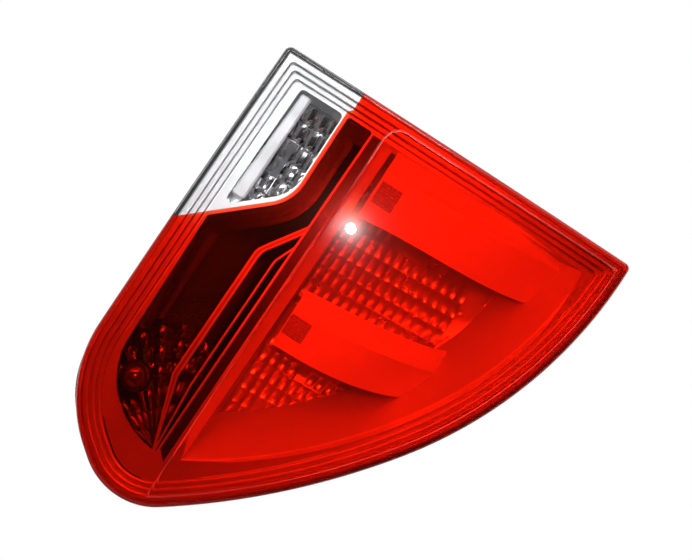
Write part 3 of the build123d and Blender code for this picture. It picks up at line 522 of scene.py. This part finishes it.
def make_finishes(looks):
    """Every finish of the record, by its slot."""
    brass_stain = shade(looks.brass, 0.62)
    tin_stain = shade(looks.tin, 0.7)
    return {
        "red_acrylic": lens_finish("red_acrylic", looks.red, ACRYLIC_IOR, looks.bloom, looks.body),
        "clear_acrylic": lens_finish("clear_acrylic", looks.clear, ACRYLIC_IOR, looks.bloom),
        "bulb_glass": lens_finish("bulb_glass", looks.bulb, GLASS_IOR),
        "coated_glass": coat_finish("coated_glass", shade(looks.smoke, 1.2), rough=0.12, metal=0.9),
        "black_abs": plastic_finish("black_abs", looks.housing, rough=0.52, grain=1500, depth=0.04),
        "satin_silver": bezel_finish(looks),
        "pearl_silver": lacquer_finish("pearl_silver", looks.pearl, looks.pearl_metal, looks.pearl_gloss),
        "black_trim": plastic_finish("black_trim", looks.trim, rough=0.3, grain=2600, depth=0.008),
        "frosted_white": plastic_finish("frosted_white", looks.bar, rough=0.42, grain=1900, depth=0.02),
        "bright_coat": coat_finish("bright_coat", looks.chrome, looks.chrome_gloss),
        "dark_coat": fog_finish(looks),
        "grey_carrier": carrier_finish(looks),
        "black_foam": foam_finish(looks),
        "bulb_brass": metal_finish("bulb_brass", looks.brass, brass_stain, rough=0.3),
        "contact_metal": metal_finish("contact_metal", looks.tin, tin_stain, rough=0.3, stretch=(0.1, 1, 1)),
        "zinc_steel": metal_finish(
            "zinc_steel", looks.zinc, looks.zinc_stain, rough=0.36, stretch=(1, 0.2, 1)),
    }


def on_face(u, v):
    """Point of a place on the face: u to the right and v down from the lens corner, in mm."""
    return LENS_CORNER + Vector((u * MM, 0, -v * MM))


def copy_of(node):
    """Merged copy of a CAD node's mesh."""
    mesh = bmesh.new()
    mesh.from_mesh(NODES[node].data)
    bmesh.ops.remove_doubles(mesh, verts=mesh.verts, dist=MERGE)
    return mesh


def dish_of(node):
    """Copy of a reflector with whole flat facets in place of their triangles."""
    mesh = copy_of(node)
    bmesh.ops.dissolve_limit(
        mesh, angle_limit=FLAT, verts=mesh.verts, edges=mesh.edges, use_dissolve_boundaries=False)
    crisp(mesh, 16)
    return mesh


def tree_of(node):
    """Search tree of a CAD node's faces."""
    mesh = copy_of(node)
    tree = BVHTree.FromBMesh(mesh)
    mesh.free()
    return tree


def data_of(name, mesh):
    """Mesh data from a finished mesh, which is freed."""
    data = bpy.data.meshes.new(name)
    mesh.to_mesh(data)
    mesh.free()
    return data


def put(name, data):
    """Add an object to the scene."""
    added = bpy.data.objects.new(name, data)
    bpy.context.scene.collection.objects.link(added)
    return added


def add_piece(name, mesh, slot, replaced=(), finish=None):
    """Put a finished mesh in the scene as a piece of the lamp, in its slot's finish or one of its own."""
    if not mesh.faces:
        raise RuntimeError(f"{name} has no faces")
    piece = put(name, data_of(name, mesh))
    piece.data.materials.append(finish or bpy.data.materials[slot])
    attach(piece, "root")
    if replaced:
        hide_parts(*replaced)


def crisp(mesh, degrees):
    """Smooth faces, with sharp edges where they turn by more than the degrees given."""
    for face in mesh.faces:
        face.smooth = True
    for edge in mesh.edges:
        if len(edge.link_faces) != 2 or edge.calc_face_angle() > radians(degrees):
            edge.smooth = False


def open_edges(mesh):
    return [edge for edge in mesh.edges if edge.is_boundary]


def new_verts(made):
    """Vertices among what an extrusion made."""
    return [item for item in made["geom"] if isinstance(item, bmesh.types.BMVert)]


def thicken(mesh, way):
    """Close a sheet into a slab, with its second face along the way."""
    made = bmesh.ops.extrude_face_region(mesh, geom=mesh.faces[:])
    bmesh.ops.translate(mesh, verts=new_verts(made), vec=way)
    bmesh.ops.recalc_face_normals(mesh, faces=mesh.faces)


def joined(mesh, other):
    """Add another mesh to a mesh."""
    data = data_of("joined", other)
    mesh.from_mesh(data)
    bpy.data.meshes.remove(data)


def islands(mesh):
    """Vertices of each loose part of a mesh."""
    done = set()
    parts = []
    for first in mesh.verts:
        if first in done:
            continue
        done.add(first)
        part = [first]
        for vert in part:
            for edge in vert.link_edges:
                other = edge.other_vert(vert)
                if other not in done:
                    done.add(other)
                    part.append(other)
        parts.append(part)
    return parts


def reach_of(face):
    """How far a facet reaches from its middle to its sides."""
    return 2 * face.calc_area() / face.calc_perimeter()


def is_facet(face, least, most):
    """Whether a face is a whole, convex facet with a reach between least and most, in mm."""
    if not least < reach_of(face) / MM < most:
        return False
    return all(loop.is_convex and loop.calc_angle() > SHARPEST for loop in face.loops)


def swell(mesh, face, sizes, slope):
    """Give a flat facet a seam and a low rounded swell."""
    reach = reach_of(face)
    normal = face.normal.copy()
    middle = face.calc_center_median_weighted()
    wide = 1.0
    ring = sizes.facet_ring * reach
    steps = [(1 - sizes.facet_seam / reach, 0.0)]
    for k in range(SWELL_RINGS):
        steps.append((steps[-1][0] - sizes.facet_ring, ring * tan(slope * (1 - k / SWELL_RINGS))))
    for k, (size, rise) in enumerate(steps):
        face = bmesh.ops.extrude_discrete_faces(mesh, faces=[face])["faces"][0]
        shrink = size / wide
        bmesh.ops.scale(mesh, vec=(shrink,) * 3, space=Matrix.Translation(-middle), verts=face.verts)
        bmesh.ops.translate(mesh, verts=face.verts, vec=normal * rise)
        middle += normal * rise
        wide = size
        for edge in face.edges:
            edge.smooth = k > 0
            for side in edge.link_faces:
                side.smooth = True
    top = ring * tan(slope / (2 * SWELL_RINGS))
    for made in bmesh.ops.poke(mesh, faces=[face], offset=top)["faces"]:
        made.smooth = True


def rod(mesh, start, end, radius, tip, sides):
    """Closed round rod between two points; tip is its radius at the end."""
    line = end - start
    turned = Vector((0, 0, 1)).rotation_difference(line).to_matrix().to_4x4()
    bmesh.ops.create_cone(
        mesh, cap_ends=True, segments=sides, radius1=radius, radius2=tip, depth=line.length,
        matrix=Matrix.Translation((start + end) / 2) @ turned)


def coil(start, end, radius, wire):
    """Filament wound along X from start to end."""
    mesh = bmesh.new()
    steps = COIL_STEPS * COIL_TURNS
    beside = Matrix.Translation((0, 0, radius)) @ Matrix.Rotation(pi / 2, 4, "Y")
    bmesh.ops.create_circle(mesh, segments=WIRE_SIDES, radius=wire, matrix=beside)
    bmesh.ops.spin(
        mesh, geom=mesh.verts[:] + mesh.edges[:], cent=(0, 0, 0), axis=(1, 0, 0),
        dvec=((end.x - start.x) / steps, 0, 0), angle=2 * pi * COIL_TURNS, steps=steps)
    bmesh.ops.holes_fill(mesh, edges=open_edges(mesh))
    bmesh.ops.recalc_face_normals(mesh, faces=mesh.faces)
    bmesh.ops.translate(mesh, verts=mesh.verts, vec=start)
    return mesh


def thread(start, radius, length_y, sizes):
    """Screw thread along +Y from its start, wound past both ends and cut flat there."""
    mesh = bmesh.new()
    pitch = sizes.thread_pitch
    spare = 1.5
    turns = int(length_y / pitch + 2 * spare)
    low = -pitch * spare
    points = []
    for cut, along in THREAD_GROOVE:
        points.append(mesh.verts.new((radius - cut * sizes.thread_depth, low + along * pitch, 0)))
    edges = [mesh.edges.new(pair) for pair in zip(points, points[1:])]
    bmesh.ops.spin(
        mesh, geom=points + edges, cent=(0, 0, 0), axis=(0, 1, 0), dvec=(0, pitch / THREAD_STEPS, 0),
        angle=2 * pi * turns, steps=THREAD_STEPS * turns)
    bmesh.ops.remove_doubles(mesh, verts=mesh.verts, dist=pitch * 0.01)
    for level, outwards in ((0.0, -1), (length_y, 1)):
        bmesh.ops.bisect_plane(
            mesh, geom=mesh.verts[:] + mesh.edges[:] + mesh.faces[:], plane_co=(0, level, 0),
            plane_no=(0, outwards, 0), clear_outer=True)
        rim = [edge for edge in open_edges(mesh)
               if all(abs(vert.co.y - level) < MERGE for vert in edge.verts)]
        bmesh.ops.holes_fill(mesh, edges=rim)
    bmesh.ops.recalc_face_normals(mesh, faces=mesh.faces)
    bmesh.ops.translate(mesh, verts=mesh.verts, vec=start)
    return mesh


class LAMP_OT_finishes(Operator):
    """Give every CAD piece its finish"""

    bl_idname = "lamp.finishes"
    bl_label = "Finish the lamp"

    def execute(self, context):
        finishes = make_finishes(context.scene.lamp_finishes)
        for row in frame["record"]["subparts"]:
            data = NODES[row["node"]].data
            data.materials.clear()
            data.materials.append(finishes[row["material_slot"]])
        return {"FINISHED"}


class LAMP_OT_facets(Operator):
    """Swell the facets of the three bright reflectors"""

    bl_idname = "lamp.facets"
    bl_label = "Reflector facets"

    def execute(self, context):
        sizes, looks = context.scene.lamp_details, context.scene.lamp_finishes
        satin = coat_finish("satin_coat", shade(looks.chrome, 0.92), looks.satin_gloss, looks.satin_metal)
        for name in ("reverse", "stop", "tail"):
            node = f"{name}_reflector"
            mesh = dish_of(node)
            facets = [face for face in mesh.faces
                      if face.normal.dot(FRONT) > FACET_FACING and is_facet(face, *FACET_REACH)]
            if len(facets) < FEWEST_FACETS:
                raise RuntimeError(f"{node} shows only {len(facets)} facets")
            slope, finish = (sizes.clear_slope, None) if name == "reverse" else (sizes.facet_slope, satin)
            for face in facets:
                swell(mesh, face, sizes, slope)
            add_piece(f"{name}_facets", mesh, "bright_coat", [node], finish)
        return {"FINISHED"}


class LAMP_OT_fan(Operator):
    """Cut the pleats of the fog reflector's fan into swelling cells"""

    bl_idname = "lamp.fan"
    bl_label = "Fog reflector fan"

    def execute(self, context):
        sizes = context.scene.lamp_details
        mesh = dish_of("fog_reflector")
        cuts = int(FAN_LENGTH / sizes.fan_cell)
        for k in range(1, cuts + 1):
            spot = on_face(*FAN_HUB) + FAN_WAY * sizes.fan_cell * k
            parts = dict.fromkeys(
                item for face in self.pleats(mesh) for item in (face, *face.edges, *face.verts))
            bmesh.ops.bisect_plane(mesh, geom=list(parts), plane_co=spot, plane_no=FAN_WAY)
        cells = [face for face in self.pleats(mesh) if is_facet(face, *CELL_REACH)]
        if len(cells) < FEWEST_CELLS:
            raise RuntimeError(f"the fan shows only {len(cells)} cells")
        for face in cells:
            swell(mesh, face, sizes, sizes.fan_slope)
        add_piece("fog_fan", mesh, "dark_coat", ["fog_reflector"])
        return {"FINISHED"}

    def pleats(self, mesh):
        """Front faces of the fan, at the foot of the fog light."""
        found = []
        for face in mesh.faces:
            spot = face.calc_center_median()
            inside = FAN_FRONT < spot.y < FAN_BACK and spot.z < FAN_TOP
            if inside and face.normal.dot(FRONT) > PLEAT_FACING and face.calc_area() > PLEAT_AREA:
                found.append(face)
        return found


class LAMP_OT_weld(Operator):
    """Lay the weld bead between the red lens and the flange"""

    bl_idname = "lamp.weld"
    bl_label = "Weld bead"

    def execute(self, context):
        sizes, looks = context.scene.lamp_details, context.scene.lamp_finishes
        mesh = copy_of("red_lens")
        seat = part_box("red_lens")[1].y
        # Only the foot of the skirt stays: the faces that look back, at the seat
        rest = [face for face in mesh.faces
                if face.normal.y < 0.9 or abs(face.calc_center_median().y - seat) > sizes.weld_height / 4]
        bmesh.ops.delete(mesh, geom=rest, context="FACES")
        thicken(mesh, FRONT * sizes.weld_height)
        finish = plastic_finish("weld_red", looks.weld, rough=0.45, grain=900, depth=0.02)
        add_piece("lens_weld", mesh, "red_acrylic", finish=finish)
        return {"FINISHED"}


class LAMP_OT_slat(Operator):
    """Close the broad slat of the fog window between its two raised edges"""

    bl_idname = "lamp.slat"
    bl_label = "Broad slat"

    def execute(self, context):
        sizes, looks = context.scene.lamp_details, context.scene.lamp_finishes
        edge = tree_of("inner_bezel").ray_cast(on_face(*SLAT_SPOT) + FRONT, -FRONT)[0]
        if edge is None:
            raise RuntimeError("the bezel has no slat under its spot")
        ball = (edge - CROWN_MIDDLE).length - sizes.slat_drop
        mesh = bmesh.new()
        for line in SLAT_EDGES:
            points = [mesh.verts.new(on_face(*place)) for place in line]
            for pair in zip(points, points[1:]):
                mesh.edges.new(pair)
        bmesh.ops.bridge_loops(mesh, edges=mesh.edges[:])
        bmesh.ops.subdivide_edges(mesh, edges=mesh.edges[:], cuts=SLAT_CUTS, use_grid_fill=True)
        for vert in mesh.verts:
            aside = vert.co - CROWN_MIDDLE
            vert.co.y = CROWN_MIDDLE.y - sqrt(ball ** 2 - aside.x ** 2 - aside.z ** 2)
        thicken(mesh, -FRONT * sizes.slat_thick)
        crisp(mesh, 40)
        # Painted shade: the web between the raised edges takes the darker slat tone in place of the bezel's
        # silver
        finish = lacquer_finish("slat_painted_shade", looks.slat, looks.silver_metal, looks.silver_gloss)
        add_piece("broad_slat", mesh, "satin_silver", finish=finish)
        return {"FINISHED"}


class LAMP_OT_pads(Operator):
    """Lay a grained pad on each light blade"""

    bl_idname = "lamp.pads"
    bl_label = "Blade pads"

    def execute(self, context):
        sizes, looks = context.scene.lamp_details, context.scene.lamp_finishes
        finish = lacquer_finish("pad_silver", looks.pad, looks.pearl_metal, looks.pearl_gloss)
        for node, (left, top, width, height) in PADS.items():
            blade = tree_of(node)
            mesh = bmesh.new()
            across, down = (round(side * MM / sizes.pad_grain) for side in (width, height))
            upright = Matrix.Translation(on_face(left + width / 2, top + height / 2))
            upright @= Matrix.Rotation(pi / 2, 4, "X") @ Matrix.Diagonal((width * MM, height * MM, 1, 1))
            bmesh.ops.create_grid(mesh, x_segments=across, y_segments=down, size=0.5, matrix=upright)
            for vert in mesh.verts:
                hit = blade.ray_cast(vert.co + FRONT, -FRONT)[0]
                if hit is None:
                    raise RuntimeError(f"the pad of {node} reaches past the blade")
                vert.co.y = hit.y
            faces = mesh.faces[:]
            bmesh.ops.translate(mesh, verts=mesh.verts, vec=FRONT * sizes.pad_rise * sizes.pad_foot)
            skirt = bmesh.ops.extrude_edge_only(mesh, edges=open_edges(mesh))
            bmesh.ops.translate(mesh, verts=new_verts(skirt), vec=-FRONT * sizes.pad_rise)
            bmesh.ops.holes_fill(mesh, edges=open_edges(mesh))
            bmesh.ops.inset_individual(mesh, faces=faces, thickness=sizes.pad_grain * sizes.pad_groove)
            bmesh.ops.poke(mesh, faces=faces, offset=sizes.pad_rise)
            bmesh.ops.recalc_face_normals(mesh, faces=mesh.faces)
            add_piece(node.replace("light_blade", "blade_pad"), mesh, "pearl_silver", finish=finish)
        return {"FINISHED"}


class LAMP_OT_filaments(Operator):
    """Stand a filament on two posts in each bulb"""

    bl_idname = "lamp.filaments"
    bl_label = "Bulb filaments"

    def execute(self, context):
        sizes = context.scene.lamp_details
        for name in BULBS:
            low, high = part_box(f"{name}_bulb_glass")
            middle = (low + high) / 2
            radius = (high.x - low.x) / 2
            half = Vector((radius * sizes.coil_half, 0, 0))
            seat = Vector((middle.x, high.y, middle.z))
            level = FRONT * (high.y - low.y) * sizes.coil_level
            mesh = coil(seat + level - half, seat + level + half, sizes.coil_radius, sizes.coil_wire)
            for aside in (-half, half):
                foot = seat + aside * sizes.post_foot
                top = seat + level + aside + FRONT * sizes.coil_radius
                rod(mesh, foot, top, sizes.post_radius, sizes.post_radius, sides=10)
            stem = seat + level * sizes.stem_level
            rod(mesh, seat, stem, radius * sizes.stem_foot, radius * sizes.stem_top, sides=16)
            crisp(mesh, 35)
            add_piece(f"{name}_filament", mesh, "contact_metal")
        return {"FINISHED"}


class LAMP_OT_studs(Operator):
    """Cut the threads of the mounting studs"""

    bl_idname = "lamp.studs"
    bl_label = "Stud threads"

    def execute(self, context):
        sizes = context.scene.lamp_details
        mesh = copy_of("mounting_studs")
        shank = [face for face in mesh.faces if face.calc_center_median().y > SHANK_START]
        bmesh.ops.delete(mesh, geom=shank, context="FACES")
        bmesh.ops.holes_fill(mesh, edges=open_edges(mesh))
        for mount in frame["record"]["mounts"]:
            if mount["kind"] == "pin":
                start = Vector(mount["pos_m"])
                radius = mount["dims"]["r_mm"] * MM
                joined(mesh, thread(start, radius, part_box("mounting_studs")[1].y, sizes))
        crisp(mesh, 30)
        add_piece("stud_threads", mesh, "zinc_steel", ["mounting_studs"])
        return {"FINISHED"}


class LAMP_OT_strips(Operator):
    """Lap the upright contact strips over the long ones"""

    bl_idname = "lamp.strips"
    bl_label = "Contact strips"

    def execute(self, context):
        lap = context.scene.lamp_details.strip_lap
        mesh = copy_of("contact_strips")
        for strip in islands(mesh):
            places = [vert.co.x for vert in strip]
            if max(places) - min(places) < STRIP_WIDTH:
                bmesh.ops.translate(mesh, verts=strip, vec=-FRONT * lap)
        crisp(mesh, 30)
        add_piece("lapped_strips", mesh, "contact_metal", ["contact_strips"])
        return {"FINISHED"}


class LAMP_OT_stage(Operator):
    """Set up the floor, the lamps, the background and the camera"""

    bl_idname = "lamp.stage"
    bl_label = "Stage"

    def execute(self, context):
        scene, stage = context.scene, context.scene.lamp_stage
        right = Vector((cos(stage.tilt), 0, sin(stage.tilt)))
        up = Vector((-sin(stage.tilt), 0, cos(stage.tilt)))
        key_way = FRONT * cos(stage.key_rise) + up * sin(stage.key_rise) + right * tan(stage.key_side)
        key_size = (stage.key_size, stage.key_size)
        fill_way = FRONT * cos(stage.fill_rise) + up * sin(stage.fill_rise)
        fill_size = (stage.fill_width, stage.fill_height)
        self.floor(stage)
        self.camera(scene, stage, Matrix((right, up, FRONT)).transposed())
        self.lamp("key_lamp", "DISK", stage.key_power, key_size, key_way, stage.key_far, right)
        self.lamp("fill_lamp", "RECTANGLE", stage.fill_power, fill_size, fill_way, stage.fill_far, right)
        self.background(scene, stage, up)
        scene.view_settings.view_transform = "Standard"
        return {"FINISHED"}

    def floor(self, stage):
        """Pale paper that the camera sees nearly white, with the lamp's shadow on it."""
        mesh = bmesh.new()
        middle = Matrix.Translation((*FLOOR_MIDDLE, CAD_BOX[0][2] - stage.floor_drop))
        bmesh.ops.create_circle(
            mesh, cap_ends=True, segments=96, radius=stage.floor_radius, matrix=middle)
        floor = put("floor", data_of("floor", mesh))
        material, paint = finish_named("floor_paper")
        fibres = paint.noise(scale=220, detail=4)
        paper = paint.surface({
            "Base Color": paint.mottle(fibres, stage.paper_dull, stage.paper), "Roughness": 0.9})
        glow = paint.add("ShaderNodeEmission", None, {"Color": (1, 1, 1, 1), "Strength": 1.0})
        seen = paint.add("ShaderNodeLightPath", out="Is Camera Ray")
        paint.done(paint.mix(seen * stage.floor_glow, paper, glow))
        floor.data.materials.append(material)

    def camera(self, scene, stage, turned):
        data = bpy.data.cameras.new("camera")
        data.sensor_width = FILM
        data.lens = FILM * stage.distance / stage.frame_width
        camera = put("camera", data)
        camera.matrix_world = Matrix.Translation(AIM + FRONT * stage.distance) @ turned.to_4x4()
        scene.camera = camera

    def lamp(self, name, shape, power, size, way, far, right):
        """Area lamp that shines at the lens from the way given, level with the picture."""
        data = bpy.data.lights.new(name, "AREA")
        data.shape = shape
        data.energy = power
        data.size, data.size_y = size
        way = way.normalized()
        across = (right - way * right.dot(way)).normalized()
        turned = Matrix((across, way.cross(across), way)).transposed()
        put(name, data).matrix_world = Matrix.Translation(AIM + way * far) @ turned.to_4x4()

    def background(self, scene, stage, up):
        """White where the camera looks and behind the lamp, dim in front of it and bright above."""
        scene.world = bpy.data.worlds.new("studio")
        scene.world.use_nodes = True
        paint = Finish(scene.world.node_tree)
        way = paint.add("ShaderNodeTexCoord", out="Generated")
        kinds = ("Camera", "Glossy", "Transmission")
        camera, glossy, through = (paint.add("ShaderNodeLightPath", out=f"Is {ray} Ray") for ray in kinds)
        behind = paint.spread(paint.along("Y", way), 0, 1, *ROOM_BACK)
        seen = paint.spread(camera + (glossy + through) * behind, 0, 1, 0, 1)
        rise = paint.add("ShaderNodeVectorMath", {"operation": "DOT_PRODUCT"}, {0: way, 1: up}, "Value")
        above = paint.spread(rise, 0, 1, *ROOM_TOP)
        light = stage.room + above * (stage.sky + glossy * (stage.mirrored - stage.sky))
        level = seen + (1 - seen) * light
        sky = paint.add("ShaderNodeBackground", None, {"Color": (1, 1, 1, 1), "Strength": level})
        paint.add("ShaderNodeOutputWorld", None, {"Surface": sky})


class LAMP_PT_panel(Panel):
    """Lists the steps that dress the lamp"""

    bl_idname = "LAMP_PT_panel"
    bl_label = "Tail Light"
    bl_space_type = "VIEW_3D"
    bl_region_type = "UI"
    bl_category = "Tail Light"

    def draw(self, context):
        for step in STEPS:
            self.layout.operator(step.bl_idname)
        for name, group in GROUPS.items():
            box = self.layout.box()
            for key in group.__annotations__:
                box.prop(getattr(context.scene, name), key)


GROUPS = {"lamp_finishes": LampFinishes, "lamp_details": LampDetails, "lamp_stage": LampStage}
STEPS = (
    LAMP_OT_finishes, LAMP_OT_facets, LAMP_OT_fan, LAMP_OT_weld, LAMP_OT_slat, LAMP_OT_pads,
    LAMP_OT_filaments, LAMP_OT_studs, LAMP_OT_strips, LAMP_OT_stage,
)
CLASSES = (*GROUPS.values(), *STEPS, LAMP_PT_panel)


def register():
    for item in CLASSES:
        bpy.utils.register_class(item)
    for name, group in GROUPS.items():
        setattr(bpy.types.Scene, name, PointerProperty(type=group))


def unregister():
    for name in GROUPS:
        delattr(bpy.types.Scene, name)
    for item in reversed(CLASSES):
        bpy.utils.unregister_class(item)


def main():
    register()
    bpy.ops.lamp.finishes()
    bpy.ops.lamp.facets()
    bpy.ops.lamp.fan()
    bpy.ops.lamp.weld()
    bpy.ops.lamp.slat()
    bpy.ops.lamp.pads()
    bpy.ops.lamp.filaments()
    bpy.ops.lamp.studs()
    bpy.ops.lamp.strips()
    bpy.ops.lamp.stage()


if __name__ == "__main__":
    main()
